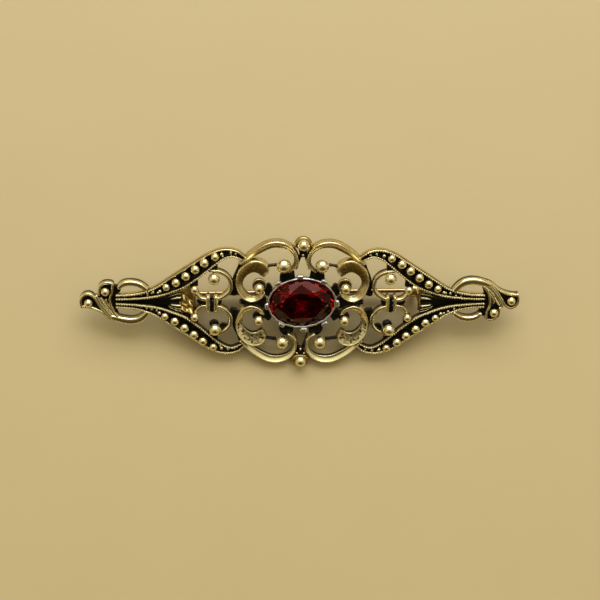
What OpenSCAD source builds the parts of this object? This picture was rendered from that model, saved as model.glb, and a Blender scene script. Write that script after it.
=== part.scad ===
// Openwork bar brooch with an oval red stone, in millimetres.
// Every piece is drawn in the face frame: X along the bar, Y up the face, Z out of the face, the stone
// over the origin. lay() then tips the brooch back on its lower scrolls and its pin joint, the way it
// lies on a table.

/* [Stone and setting] */
// Length of the oval stone at its girdle
stone_l = 9.44; // [9.0:0.01:9.5]
// Width of the oval stone at its girdle
stone_w = 7.24; // [6.8:0.01:7.3]
// Height of the stone's table above its girdle
crown_h = 1.3; // [0.8:0.05:1.6]
// Depth of the stone's point below its girdle
pavilion_h = 2.0; // [1.6:0.05:2.1]
// Turn of the setting in the face, anticlockwise
setting_turn = 3.5; // [0:0.5:5]
// Width of one of the eight silver tabs
tab_w = 1.1; // [0.8:0.1:1.4]

/* [Casting] */
// Thickness of the casting behind the scrolls' edges
back_t = 0.6; // [0.5:0.05:0.7]
// How far the two ends drop behind the middle of the face
dome = 0.85; // [0.6:0.05:1.0]
// Height of the balls' centres above the face
ball_z = 0.75; // [0.6:0.05:0.9]
// Height of the beads' centres in the arms
bead_z = 0.52; // [0.4:0.02:0.7]
// Height of the centres of the crescents' and the wings' big balls
high_ball_z = 1.0; // [0.8:0.05:1.1]
// Radius of the big ball in each middle scroll
big_ball_r = 0.98; // [0.8:0.02:1.0]
// Radius of the ball in each crescent
crescent_ball_r = 0.76; // [0.6:0.02:0.85]
// Radius of the ball at the top and the bottom of the middle
edge_ball_r = 0.8; // [0.7:0.02:0.85]
// Radius of the big ball in each wing scroll
wing_ball_r = 0.85; // [0.7:0.05:0.9]
// Radius of the small ball in each wing scroll
wing_tail_r = 0.6; // [0.5:0.05:0.65]

/* [Pin] */
// Diameter of the pin stem
stem_d = 0.7; // [0.6:0.05:0.8]
// Depth of the stem's axis behind the face
stem_z = 3.9; // [3.7:0.1:4.2]
// Distance of the hinge rivet from the middle
rivet_x = 16.6; // [16.0:0.1:17.0]
// Diameter of the hinge rivet
rivet_d = 0.9; // [0.8:0.05:1.0]
// Length of the stem from the rivet to its point
stem_l = 34.6; // [34.0:0.1:35.0]
// How far the joint sits below the middle of the face, and the catch above it
stem_skew = 0.35; // [0.2:0.05:0.4]

/* [Hidden] */

half_l = 31;
gold = [0.70, 0.56, 0.28];
silver = [0.80, 0.80, 0.78];

// Thickness of the webs and floors behind the face datum, and heights above it
web_t = 0.42;
edge_z = 0.3;
floor_z = 0.0;
c_crest = 0.62;
crescent_crest = 0.85;
rim_crest = 0.6;
ridge_crest = 0.7;
band_crest = 1.05;
band_w = 0.62;
draft = 0.08;
leaf_z = 0.12;
leaf_edge = 0.2;

// Rows of the four middle scrolls, for the upper right quarter: crest x, crest y, inner edge x, inner edge y
big_c = [
    [1.95, 4.82, 2.02, 5.02],
    [0.99, 5.53, 1.35, 5.74],
    [0.71, 6.44, 1.14, 6.56],
    [0.80, 7.38, 1.27, 7.30],
    [1.29, 8.40, 1.79, 7.97],
    [2.13, 9.05, 2.52, 8.35],
    [3.27, 9.41, 3.43, 8.51],
    [4.49, 9.34, 4.37, 8.42],
    [5.68, 8.86, 5.25, 8.04],
    [7.19, 7.79, 6.57, 7.26],
    [8.85, 6.05, 8.45, 5.95],
];
crescent = [
    [5.55, 4.20, 5.85, 4.13],
    [5.00, 5.09, 6.25, 4.54],
    [5.25, 5.92, 6.65, 4.76],
    [6.04, 6.50, 7.12, 4.80],
    [7.01, 6.65, 7.58, 4.63],
    [8.07, 6.23, 8.11, 4.21],
    [9.00, 5.23, 8.48, 3.58],
    [9.46, 3.97, 8.56, 2.88],
    [9.44, 2.73, 8.36, 2.18],
    [8.87, 1.46, 7.85, 1.52],
    [8.02, 0.81, 7.35, 1.24],
    [7.07, 0.64, 6.86, 1.19],
    [5.95, 1.15, 6.30, 1.45],
    [5.40, 1.93, 5.75, 2.03],
];

// Rows of the wing lines, for the upper right quarter: x, y, width
wing_c = [
    [13.25, 5.02, 0.40],
    [12.13, 4.98, 0.50],
    [11.06, 4.53, 0.55],
    [10.38, 3.85, 0.57],
    [10.10, 3.11, 0.58],
    [10.12, 2.20, 0.58],
    [10.49, 1.49, 0.56],
    [11.28, 0.83, 0.53],
    [12.29, 0.45, 0.48],
    [13.65, 0.41, 0.46],
    [14.67, 0.65, 0.50],
    [15.42, 1.60, 0.45],
];
arm_rim = [
    [8.20, 6.85, 0.35],
    [9.40, 7.75, 0.38],
    [11.20, 8.02, 0.38],
    [13.20, 7.38, 0.38],
    [15.20, 6.08, 0.38],
    [17.20, 4.72, 0.38],
    [19.20, 3.35, 0.38],
    [21.00, 2.12, 0.38],
    [22.80, 1.38, 0.38],
    [24.60, 1.00, 0.38],
    [26.70, 0.88, 0.38],
];
arm_ridge = [
    [8.65, 6.35, 0.35],
    [10.00, 6.95, 0.42],
    [11.40, 6.45, 0.42],
    [13.00, 5.30, 0.42],
    [14.60, 4.02, 0.42],
    [16.20, 2.80, 0.42],
    [17.30, 2.15, 0.42],
    [20.20, 1.05, 0.40],
    [22.60, 0.62, 0.38],
    [24.60, 0.44, 0.36],
    [26.70, 0.36, 0.36],
];
// The beads in the channel of an arm, root to end: x, y, radius
arm_beads = [
    [11.45, 7.35, 0.38],
    [12.60, 7.00, 0.62],
    [14.10, 6.10, 0.66],
    [15.40, 5.07, 0.66],
    [16.75, 4.02, 0.65],
    [18.15, 3.02, 0.62],
    [19.55, 2.28, 0.56],
    [20.55, 1.72, 0.38],
];

// The row at which the floor between the arms starts, and the reeds of its fan
fan_row = 6;
reed_pitch = 0.62;
reed_crest = 0.42;

// Rows of the left end, which is turned half round for the right one
tip_curl = [
    [-31.30, -1.30, 0.40],
    [-31.71, -0.59, 0.43],
    [-31.76, -0.21, 0.44],
    [-31.58, 0.37, 0.44],
    [-31.28, 0.74, 0.44],
    [-30.80, 0.97, 0.44],
    [-30.47, 0.93, 0.43],
    [-29.90, 0.38, 0.40],
];
hook_curl = [
    [-29.05, 0.70, 0.36],
    [-29.00, 1.74, 0.40],
    [-28.70, 2.28, 0.40],
    [-28.25, 2.62, 0.40],
    [-27.65, 2.70, 0.40],
    [-27.30, 2.52, 0.40],
    [-27.25, 2.10, 0.38],
    [-27.65, 0.20, 0.36],
];
leaf_border = [
    [-31.42, -1.40, 0.30],
    [-30.60, -1.26, 0.34],
    [-29.85, -1.38, 0.36],
    [-29.10, -1.82, 0.36],
    [-28.10, -2.45, 0.36],
    [-27.10, -2.92, 0.34],
];
// Crests of the leaf's five ribs, row by row from its top to its root
leaf = [
    [[-29.95, 0.40], [-29.52, 0.62], [-28.98, 0.50], [-28.30, 0.30], [-27.72, 0.00]],
    [[-29.50, -0.55], [-29.05, -0.40], [-28.60, -0.35], [-28.10, -0.45], [-27.65, -0.60]],
    [[-28.62, -1.68], [-28.25, -1.45], [-27.85, -1.30], [-27.45, -1.30], [-27.05, -1.50]],
    [[-27.40, -2.55], [-27.10, -2.50], [-26.80, -2.45], [-26.45, -2.35], [-26.15, -2.25]],
];
lower_arc = [
    [-27.90, -2.10, -27.70, -1.85],
    [-26.69, -2.97, -26.50, -2.23],
    [-25.55, -3.42, -25.46, -2.63],
    [-24.50, -3.50, -24.50, -2.68],
    [-23.46, -3.21, -23.65, -2.47],
    [-22.54, -2.59, -22.94, -2.03],
    [-22.05, -1.85, -22.40, -1.60],
];
upper_arc = [
    [-26.55, 1.48, -26.00, 1.18],
    [-25.95, 2.40, -25.60, 1.83],
    [-25.14, 2.87, -25.00, 2.24],
    [-24.32, 3.01, -24.34, 2.39],
    [-23.42, 2.84, -23.64, 2.29],
    [-22.67, 2.38, -23.03, 1.95],
    [-21.95, 1.58, -22.30, 1.38],
];
// Balls of the left end: x, y, radius
end_balls = [[-30.57, -0.25, 0.63], [-28.12, 1.56, 0.62]];

// The setting: a closed cup that narrows to its floor, with a rim that holds the girdle; each reach is
// measured outward from the girdle
girdle_z = 0.0;
girdle_t = 0.12;
gap = 0.05;
cup_reach = 0.08;
cup_wall = 0.2;
cup_floor_z = -2.4;
cup_foot = -0.75;
flange_z = -0.32;
ledge_z = -0.12;
rim_top_z = 0.34;
rim_reach = 0.29;
rim_lip = 0.05;
lip_z = 0.2;
tab_t = 0.45;
tab_z = 0.03;
tab_top_z = 0.55;
tab_reach = 0.39;
tab_count = 8;
oval_sides = 48;

// The pin: ears with a riveted eye on the left, a catch on the right
rivet_r = rivet_d / 2;
eye_r = 0.95;
eye_w = 0.9;
ear_t = 0.45;
ear_r = 0.95;
side_gap = 0.05;
bore_gap = 0.05;
plate_t = 0.45;
plate_l = 6.6;
plate_w = 2.6;
head_r = 0.6;
head_t = 0.25;
root_l = 2.2;
root_r = 0.4;
shank_end = 31.2;
point_l = 3.0;
catch_r = 1.0;
catch_bore_r = 0.5;
catch_mouth = 0.78;
catch_w = 1.3;
catch_x = 16.65;
post_w = 1.1;
round_sides = 48;

// How the brooch lies: its lower scrolls and the lower corner of the pin joint's ears touch the table
low_y = -9.645;
foot_y = -stem_skew - eye_w / 2 - side_gap - ear_t;
foot_z = -stem_z - ear_r;
lean = atan((-back_t - foot_z) / (foot_y - low_y));
lift = -(low_y * sin(lean) - back_t * cos(lean));
centre_y = -0.02;

module lay() {
    translate([0, -centre_y, lift]) rotate([lean, 0, 0]) children();
}

// The domed datum of the face, and a point lifted off it
function datum(x) = -dome * pow(x / half_l, 2);
function lifted(p, z) = [p[0], p[1], z + datum(p[0])];

function flat(p) = [p[0], p[1]];
function unit(v) = v / norm(v);
// The left-hand normal of a path at its point i
function side(path, i) = let (
    a = flat(path[max(i - 1, 0)]),
    b = flat(path[min(i + 1, len(path) - 1)]),
    d = unit(b - a)
) [-d[1], d[0]];

// The five corners of a knife-edged strip, between its outer edge, its crest and its inner edge
function strip_ring(outer, crest, inner, z_crest, z_edge) =
    let (out = draft * unit(outer - inner)) [
        lifted(outer - out, -back_t),
        lifted(outer, z_edge),
        lifted(crest, z_crest),
        lifted(inner, z_edge),
        lifted(inner + out, -back_t),
    ];
function scroll_ring(row, w_out, z_crest) = let (
    crest = [row[0], row[1]],
    inner = [row[2], row[3]]
) strip_ring(crest + w_out * unit(crest - inner), crest, inner, z_crest, edge_z);

// A closed solid through rings of corners, which may run round either way
function total(v, i = 0) = i == len(v) ? [0, 0, 0] : v[i] + total(v, i + 1);
function faces_on(ring, next) =
    total([for (i = [1:len(ring) - 2]) cross(ring[i] - ring[0], ring[i + 1] - ring[0])])
        * (next[0] - ring[0]) > 0;
module sweep(rings) {
    k = len(rings[0]);
    n = len(rings);
    turned = faces_on(rings[0], rings[1]);
    walls = [
        for (i = [0:n - 2], j = [0:k - 1]) let (a = i * k + j, b = i * k + (j + 1) % k)
            each [[a, b, b + k], [a, b + k, a + k]],
    ];
    start = [for (j = [k - 1:-1:0]) j];
    end = [for (j = [0:k - 1]) (n - 1) * k + j];
    faces = concat([start], walls, [end]);
    flipped = [for (f = faces) [for (j = [len(f) - 1:-1:0]) f[j]]];
    polyhedron([for (ring = rings) each ring], turned ? flipped : faces);
}

// A scroll with its crest at the outer edge and a wide face that falls to the inside
module scroll(rows, w_out, z_crest) {
    sweep([for (row = rows) scroll_ring(row, w_out, z_crest)]);
}

// A raised line of the given width, with its crest at share of the width from its left side
module raised_line(rows, z_crest, share = 0.5, z_edge = edge_z) {
    sweep([
        for (i = [0:len(rows) - 1]) let (p = flat(rows[i]), w = rows[i][2], s = side(rows, i))
            strip_ring(p + share * w * s, p, p - (1 - share) * w * s, z_crest, z_edge),
    ]);
}

// The fluted leaf: in each row a crest for every rib, a valley between two, and an edge at both sides
module fluted_leaf(rows) {
    sweep([
        for (row = rows) let (
            n = len(row),
            a = row[0] - leaf_edge * unit(row[1] - row[0]),
            b = row[n - 1] + leaf_edge * unit(row[n - 1] - row[n - 2])
        ) [
            lifted(a, -back_t),
            lifted(a, leaf_z),
            lifted(row[0], rim_crest),
            for (i = [1:n - 1]) each [lifted((row[i - 1] + row[i]) / 2, leaf_z), lifted(row[i], rim_crest)],
            lifted(b, leaf_z),
            lifted(b, -back_t),
        ],
    ]);
}

// An arm's channel: a rim, a sunken floor and a ridge as one strip
module arm() {
    sweep([
        for (i = [0:len(arm_rim) - 1]) let (
            rim = flat(arm_rim[i]),
            ridge = flat(arm_ridge[i]),
            up = arm_rim[i][2] / 2 * side(arm_rim, i),
            down = arm_ridge[i][2] / 2 * side(arm_ridge, i)
        ) [
            lifted(rim + 0.8 * up, -back_t),
            lifted(rim + up, edge_z),
            lifted(rim, rim_crest),
            lifted(rim - up, floor_z),
            lifted(ridge + down, floor_z),
            lifted(ridge, ridge_crest),
            lifted(ridge - down, edge_z),
            lifted(ridge - 0.8 * down, -back_t),
        ],
    ]);
}

// The floor between the two arms, which starts as a fan of five reeds
module fan() {
    sweep([
        for (i = [fan_row:len(arm_ridge) - 1]) let (
            x = arm_ridge[i][0],
            y = arm_ridge[i][1],
            pitch = reed_pitch * (i == fan_row ? 1 : (y - 0.3) / arm_ridge[fan_row][1]),
            crest = i == fan_row ? reed_crest : i == fan_row + 1 ? reed_crest / 2 : floor_z
        ) [
            lifted([x, -y], -web_t),
            lifted([x, -y], floor_z - 0.02),
            for (k = [-5:5]) lifted([x, k * pitch / 2], k % 2 == 0 ? crest : floor_z - 0.02),
            lifted([x, y], floor_z - 0.02),
            lifted([x, y], -web_t),
        ],
    ]);
}

// A small web of metal behind the face
module web(points, top = floor_z) {
    translate([0, 0, datum(points[0][0]) - web_t]) linear_extrude(web_t + top) polygon(points);
}

// A ball that stands on a round post, with a disc under it where base is wider than the ball
module ball(row, sides = 10, base = 0, z = ball_z) {
    r = row[2];
    translate([row[0], row[1], datum(row[0])]) {
        hull() {
            translate([0, 0, -web_t / 2]) cylinder(r = r, h = web_t / 2 + z, $fn = sides);
            translate([0, 0, z + 0.7 * r]) cylinder(r1 = 0.75 * r, r2 = 0, h = 0.3 * r, $fn = sides);
        }
        if (base > r) translate([0, 0, -web_t / 2]) cylinder(r = base, h = web_t / 2 + 0.1, $fn = sides);
    }
}

module mirrored(x = true, y = true) {
    for (sx = x ? [0, 1] : [0], sy = y ? [0, 1] : [0])
        mirror([sx, 0, 0]) mirror([0, sy, 0]) children();
}

// A quarter of the middle: the outer arc, the crescent, their balls and the webs to the setting
module middle_quarter() {
    scroll(big_c, 0.30, c_crest);
    scroll(crescent, 0.28, crescent_crest);
    ball([2.74, 5.97, big_ball_r], 12, z = high_ball_z);
    ball([6.21, 2.50, crescent_ball_r], base = 1.02, z = high_ball_z);
    web([[0.95, 3.2], [3.0, 2.9], [3.05, 4.8], [2.6, 5.3], [1.8, 5.2], [0.95, 5.15]]);
    web([[3.9, 2.6], [4.3, 0.7], [5.8, 0.7], [5.7, 2.9], [5.0, 3.0]]);
    web([[5.2, -0.1], [8.1, -0.1], [8.2, 0.7], [7.35, 0.55], [6.1, 0.95], [5.2, 0.9]]);
    web([[3.6, 5.6], [5.2, 5.35], [5.2, 5.75], [3.6, 6.0]], 0.25);
    web([[9.3, 4.6], [9.3, 2.0], [10.2, 1.9], [10.2, 3.7], [9.8, 4.4]]);
}

// A quarter of the wings: the beaded arm between its rim and its ridge, and the S-shaped scroll inside it
module wing_quarter() {
    arm();
    raised_line(wing_c, c_crest, share = 0.75);
    for (row = arm_beads) ball(row, z = bead_z);
    ball([12.62, 3.94, wing_ball_r], 12, z = high_ball_z);
    ball([15.39, 2.16, wing_tail_r]);
    web([[11.5, 4.6], [11.4, 6.4], [12.6, 5.6], [13.8, 4.8], [13.2, 4.4]], 0.1);
    web([[14.7, 2.6], [15.9, 1.8], [16.1, 2.75], [14.8, 3.8]], 0.1);
}

// The pointed base and the ball at the top edge, with the stem between the outer arcs
module edge_ball() {
    ogee = [[0, 10.05], [0.45, 9.85], [0.95, 9.3], [1.05, 8.6], [0.7, 8.1], [0.6, 7.1]];
    outline = concat(ogee, [for (i = [len(ogee) - 1:-1:1]) [-ogee[i][0], ogee[i][1]]]);
    translate([0, 0, -0.36]) linear_extrude(0.5) polygon(outline);
    ball([0, 9.01, edge_ball_r], 12);
}

// The two raised bands over the wing scrolls, and the fan of reeds between the arms
module wing_middle() {
    for (x = [12.35, 13.5]) translate([x, 0, datum(x)]) hull() {
        for (y = [-1.2, 1.2]) translate([0, y, -back_t + 0.02])
            cylinder(r = band_w / 2, h = back_t + edge_z, $fn = 8);
        translate([-band_w / 4, -1.1, 0]) cube([band_w / 2, 2.2, band_crest]);
    }
    web([[11.9, -0.45], [14.6, -0.45], [15.1, 0], [14.6, 0.45], [11.9, 0.45]]);
    fan();
}

// The leaf with its two balls and the ring of arcs at the left end
module left_end() {
    raised_line(tip_curl, rim_crest, z_edge = leaf_z);
    raised_line(hook_curl, rim_crest, z_edge = leaf_z);
    raised_line(leaf_border, rim_crest, z_edge = leaf_z);
    fluted_leaf(leaf);
    scroll(lower_arc, 0.22, c_crest);
    scroll(upper_arc, 0.25, c_crest);
    for (row = end_balls) ball(row);
    web([[-31.15, -1.28], [-30.3, -1.3], [-29.2, -1.75], [-28.4, -2.2], [-28.6, -1.5], [-29.4, -0.4],
        [-30.0, 0.6], [-30.65, 1.0], [-31.4, 0.6], [-31.75, -0.4]], 0.1);
    web([[-29.1, 0.6], [-28.1, 0.3], [-27.7, -0.5], [-27.1, -1.4], [-27.0, -2.6], [-26.3, -2.9],
        [-26.1, -2.2], [-26.4, -1.1], [-26.4, 0.9], [-25.8, 1.3], [-26.0, 2.3], [-27.1, 2.4],
        [-27.5, 2.7], [-28.4, 2.5], [-28.95, 1.8]], 0.1);
}

// The casting with all that is cast on it, open for the setting's cup
module filigree_frame() color(gold) lay() difference() {
    union() {
        mirrored() middle_quarter();
        mirrored() wing_quarter();
        mirrored(x = false) edge_ball();
        mirrored(y = false) wing_middle();
        for (turn = [0, 180]) rotate(turn) left_end();
    }
    translate([0, 0, -2]) rotate(setting_turn) linear_extrude(4)
        oval(stone_l / 2 + rim_reach + gap, stone_w / 2 + rim_reach + gap);
}

function oval_points(a, b, n = oval_sides) =
    [for (i = [0:n - 1]) let (t = 360 * i / n) [a * cos(t), b * sin(t)]];

module oval(a, b) {
    polygon(oval_points(a, b));
}

// An oval ring between two reaches from the girdle
module oval_ring(z, h, outer, inner) {
    a = stone_l / 2;
    b = stone_w / 2;
    translate([0, 0, z]) linear_extrude(h) difference() {
        oval(a + outer, b + outer);
        oval(a + inner, b + inner);
    }
}

// A solid oval from z up to the ledge, with its reach from the girdle given at its foot and at its top
module tapered_oval(z, foot, top) {
    a = stone_l / 2;
    b = stone_w / 2;
    translate([0, 0, z]) linear_extrude(ledge_z - z, scale = [(a + top) / (a + foot), (b + top) / (b + foot)])
        oval(a + foot, b + foot);
}

// The closed silver cup with its rim and the eight tabs
module stone_setting() color(silver) lay() rotate(setting_turn) {
    a = stone_l / 2;
    b = stone_w / 2;
    difference() {
        tapered_oval(cup_floor_z - cup_wall, cup_foot, cup_reach);
        tapered_oval(cup_floor_z, cup_foot - cup_wall, cup_reach - cup_wall);
    }
    oval_ring(flange_z, ledge_z - flange_z, rim_reach, cup_reach - cup_wall);
    oval_ring(ledge_z, lip_z - ledge_z, rim_reach, gap);
    oval_ring(lip_z, rim_top_z - lip_z, rim_reach, -rim_lip);
    for (i = [0:tab_count - 1]) let (
        t = 360 * i / tab_count,
        p = [(a + tab_reach) * cos(t), (b + tab_reach) * sin(t)]
    )
        translate(p) rotate(atan2(p[1] * a / b, p[0] * b / a)) translate([-0.25, -tab_w / 2, tab_z])
            cube([tab_t, tab_w, tab_top_z - tab_z]);
}

// Corners of the table in one quarter, and the share of the girdle that the star facets reach
table_corner = [[2.85, 0.62], [1.75, 1.9]];
star_reach = 0.86;
star_z = 0.55;

// The faceted oval stone: table, eight star facets, eight kites, sixteen girdle facets and a ridged pavilion
module stone() color([0.45, 0.01, 0.04]) lay() rotate(setting_turn) {
    a = stone_l / 2;
    b = stone_w / 2;
    q = table_corner;
    table = [
        [q[0][0], q[0][1]], [q[1][0], q[1][1]], [-q[1][0], q[1][1]], [-q[0][0], q[0][1]],
        [-q[0][0], -q[0][1]], [-q[1][0], -q[1][1]], [q[1][0], -q[1][1]], [q[0][0], -q[0][1]],
    ];
    table_z = girdle_z + girdle_t + crown_h;
    star = [for (i = [0:7]) let (t = 45 * (i + 1)) [a * star_reach * cos(t), b * star_reach * sin(t)]];
    girdle = [for (i = [0:15]) let (t = 22.5 * (i + 1)) [a * cos(t), b * sin(t)]];
    keel = [[a * 0.22, 0], [-a * 0.22, 0]];
    points = concat(
        [for (p = table) [p[0], p[1], table_z]],
        [for (p = star) [p[0], p[1], girdle_z + girdle_t + star_z]],
        [for (p = girdle) [p[0], p[1], girdle_z + girdle_t]],
        [for (p = girdle) [p[0], p[1], girdle_z]],
        [for (p = keel) [p[0], p[1], girdle_z - pavilion_h]]
    );
    polyhedron(points, concat(
        [[for (i = [7:-1:0]) i]],
        [for (i = [0:7]) [i, (i + 1) % 8, 8 + i]],
        [for (i = [0:7]) each [[i, 8 + i, 16 + 2 * i], [i, 16 + 2 * i, 8 + (i + 7) % 8]]],
        [for (i = [0:7]) each [
            [8 + i, 16 + 2 * i + 1, 16 + 2 * i],
            [8 + i, 16 + (2 * i + 2) % 16, 16 + 2 * i + 1],
        ]],
        [for (i = [0:15]) each [
            [16 + i, 16 + (i + 1) % 16, 32 + (i + 1) % 16],
            [16 + i, 32 + (i + 1) % 16, 32 + i],
        ]],
        [for (i = [0:15]) let (j = (i + 1) % 16, k = (i >= 3 && i < 11) ? 49 : 48) [32 + i, 32 + j, k]],
        [[32 + 3, 49, 48], [32 + 11, 48, 49]]
    ));
}

joint_x = -rivet_x;
ear_in = eye_w / 2 + side_gap;
back_at_joint = datum(rivet_x + plate_w / 2) - back_t - 0.01;

// A round-ended ear with the rivet's hole, its inner face at y = 0
module ear() {
    difference() {
        union() {
            translate([-ear_r, 0, -stem_z]) cube([2 * ear_r, ear_t, stem_z + back_at_joint - plate_t / 2]);
            translate([0, 0, -stem_z]) rotate([-90, 0, 0]) cylinder(r = ear_r, h = ear_t, $fn = round_sides);
        }
        translate([0, -1, -stem_z]) rotate([-90, 0, 0])
            cylinder(r = rivet_r + 0.01, h = ear_t + 2, $fn = round_sides);
    }
}

// A plate across the back of the left wing with two ears for the rivet
module pin_joint() color(gold) lay() {
    translate([joint_x - plate_w / 2, -plate_l / 2, back_at_joint - plate_t])
        cube([plate_w, plate_l, plate_t]);
    for (s = [0, 1])
        translate([joint_x, -stem_skew, 0]) mirror([0, s, 0]) translate([0, ear_in, 0]) ear();
}

// The rivet through the ears and the stem's eye, with a head at each side
module joint_rivet() color(gold) lay() {
    reach = ear_in + ear_t + 0.02;
    translate([joint_x, -stem_skew, -stem_z]) rotate([-90, 0, 0]) {
        translate([0, 0, -reach]) cylinder(r = rivet_r, h = 2 * reach, $fn = round_sides);
        for (z = [-reach - head_t, reach]) translate([0, 0, z])
            cylinder(r = head_r, h = head_t, $fn = round_sides);
    }
}

// The stem: a round eye, a tapered root, a straight shank and a long point
module pin_stem() color(silver) lay() translate([joint_x, -stem_skew, -stem_z]) {
    r = stem_d / 2;
    difference() {
        union() {
            rotate([90, 0, 0]) cylinder(r = eye_r, h = eye_w, center = true, $fn = round_sides);
            along_stem(0.7 * eye_r, root_l, root_r, r);
            along_stem(root_l, shank_end, r, r);
            along_stem(shank_end, stem_l - point_l, r, r * 0.86);
            along_stem(stem_l - point_l, stem_l, r * 0.86, 0.06);
        }
        rotate([90, 0, 0]) cylinder(r = rivet_r + bore_gap, h = eye_w + 2, center = true, $fn = round_sides);
    }
}

// A round length of the stem between two distances from the rivet
module along_stem(from, to, r1, r2) {
    rotate([0, 0, atan(2 * stem_skew / (rivet_x + catch_x))]) rotate([0, 90, 0]) translate([0, 0, from])
        cylinder(r1 = r1, r2 = r2, h = to - from, $fn = round_sides);
}

// The catch: a plate behind the fan, a post, and a round hook that opens away from the back
module pin_catch() color(gold) lay() translate([catch_x, stem_skew, 0]) {
    back = datum(catch_x + 2.8) - back_t - 0.01;
    translate([0.4, -1.6 - stem_skew, back - plate_t]) cube([2.4, 3.2, plate_t]);
    translate([0.3, -post_w / 2, -stem_z + catch_bore_r + 0.1])
        cube([1.1, post_w, stem_z - catch_bore_r - 0.1 + back - plate_t / 2]);
    translate([-catch_w / 2, 0, -stem_z]) rotate([0, 90, 0]) difference() {
        cylinder(r = catch_r, h = catch_w, $fn = round_sides);
        translate([0, 0, -1]) cylinder(r = catch_bore_r, h = catch_w + 2, $fn = round_sides);
        translate([0, -catch_mouth / 2, -1]) cube([2, catch_mouth, catch_w + 2]);
    }
}

filigree_frame();
stone_setting();
stone();
pin_joint();
joint_rivet();
pin_stem();
pin_catch();
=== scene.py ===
import math

import bpy
import bmesh
from mathutils import Matrix, Vector, noise


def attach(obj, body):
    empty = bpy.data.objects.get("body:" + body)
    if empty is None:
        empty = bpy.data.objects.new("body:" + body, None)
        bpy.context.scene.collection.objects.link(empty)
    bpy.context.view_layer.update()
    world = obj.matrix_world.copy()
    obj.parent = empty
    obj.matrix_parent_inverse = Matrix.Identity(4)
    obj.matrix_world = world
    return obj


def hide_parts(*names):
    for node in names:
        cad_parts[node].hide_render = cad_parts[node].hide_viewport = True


# The looks of an openwork bar brooch with an oval red stone. Every piece is drawn in the face frame, in
# millimetres: X along the bar, Y up the face, Z out of the face. FACE then lays it on the table with the
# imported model.

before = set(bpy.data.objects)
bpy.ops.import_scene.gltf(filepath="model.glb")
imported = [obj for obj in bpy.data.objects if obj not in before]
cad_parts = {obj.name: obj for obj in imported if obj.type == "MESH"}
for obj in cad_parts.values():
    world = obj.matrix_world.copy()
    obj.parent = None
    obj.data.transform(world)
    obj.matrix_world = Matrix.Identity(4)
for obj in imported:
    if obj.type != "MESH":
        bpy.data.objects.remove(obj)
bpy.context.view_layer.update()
# The offsets that noise_vector reads are random, and a seed makes them the same each run
NOISE_SEED = 7
noise.seed_set(NOISE_SEED)

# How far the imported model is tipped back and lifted, and where its middle lies
LEAN = math.radians(26.989)
LIFT = 4.91177
CENTRE_Y = -0.02
FACE = (
    Matrix.Translation((0, -CENTRE_Y / 1000, LIFT / 1000))
    @ Matrix.Rotation(LEAN, 4, "X")
    @ Matrix.Diagonal((0.001, 0.001, 0.001, 1))
)

# Height of the casting's back, and how far the face drops at half its length
BACK = -0.6
DOME = 0.85
HALF_L = 31.0
# Turn of the setting in the face, and the half axes of the stone's girdle
SETTING_TURN = math.radians(3.5)
STONE_A, STONE_B = 4.72, 3.62

# Heights of the crests of the scrolls, the crescents, the wing lines and the end lines
C_CREST, CRESCENT_CREST, WING_CREST, END_CREST = 0.64, 0.86, 0.64, 0.60
# How far the crest stands in from the outer wall of a scroll and of a crescent
C_WALL, CRESCENT_WALL = 0.28, 0.24
# Spacing of the points across a scroll's face
FACE_STEP = 0.14
# Heights of the balls' centres, of the beads' and of the small grains'
BALL_Z, BEAD_Z, GRAIN_Z = 0.75, 0.50, 0.15
# Factors on the widths of the wing lines, the two end curls and on the radius of the arms' beads
WING_FIT, TIP_FIT, HOOK_FIT, BEAD_FIT = 1.12, 1.12, 1.15, 1.04

# Sides of the face: right or left, and up or down
UPPER = ((1, 1), (-1, 1))
LOWER = ((1, -1), (-1, -1))
QUARTERS = UPPER + LOWER

# Tables of the casting, for the upper right quarter unless they say otherwise

# The four big scrolls: crest x, crest y, inner edge x, inner edge y
BIG_C = [
    (1.95, 4.76, 2.02, 4.96), (0.99, 5.46, 1.35, 5.67), (0.71, 6.36, 1.14, 6.48), (0.80, 7.29, 1.27, 7.21),
    (1.29, 8.30, 1.79, 7.87), (2.13, 8.94, 2.52, 8.25), (3.27, 9.30, 3.43, 8.41), (4.49, 9.23, 4.37, 8.32),
    (5.68, 8.75, 5.25, 7.94), (7.19, 7.70, 6.57, 7.17), (8.85, 5.98, 8.45, 5.88),
]
# The crescents, in the same columns
CRESCENT = [
    (5.55, 4.20, 5.85, 4.13), (5.00, 5.09, 6.25, 4.54), (5.25, 5.92, 6.65, 4.76), (6.04, 6.50, 7.12, 4.80),
    (7.01, 6.65, 7.58, 4.63), (8.07, 6.23, 8.11, 4.21), (9.00, 5.23, 8.48, 3.58), (9.46, 3.97, 8.56, 2.88),
    (9.44, 2.73, 8.36, 2.18), (8.87, 1.36, 7.85, 1.52), (8.02, 0.66, 7.35, 1.24), (7.07, 0.50, 6.86, 1.19),
    (5.95, 1.05, 6.30, 1.45), (5.40, 1.93, 5.75, 2.03),
]
# The wing lines: x, y, width
WING_C = [
    (13.25, 5.02, 0.40), (12.13, 4.98, 0.50), (11.06, 4.53, 0.55), (10.38, 3.85, 0.57), (10.10, 3.11, 0.58),
    (10.12, 2.20, 0.58), (10.49, 1.49, 0.56), (11.28, 0.83, 0.53), (12.29, 0.45, 0.48), (13.65, 0.41, 0.46),
    (14.67, 0.65, 0.50), (15.42, 1.60, 0.45),
]
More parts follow.
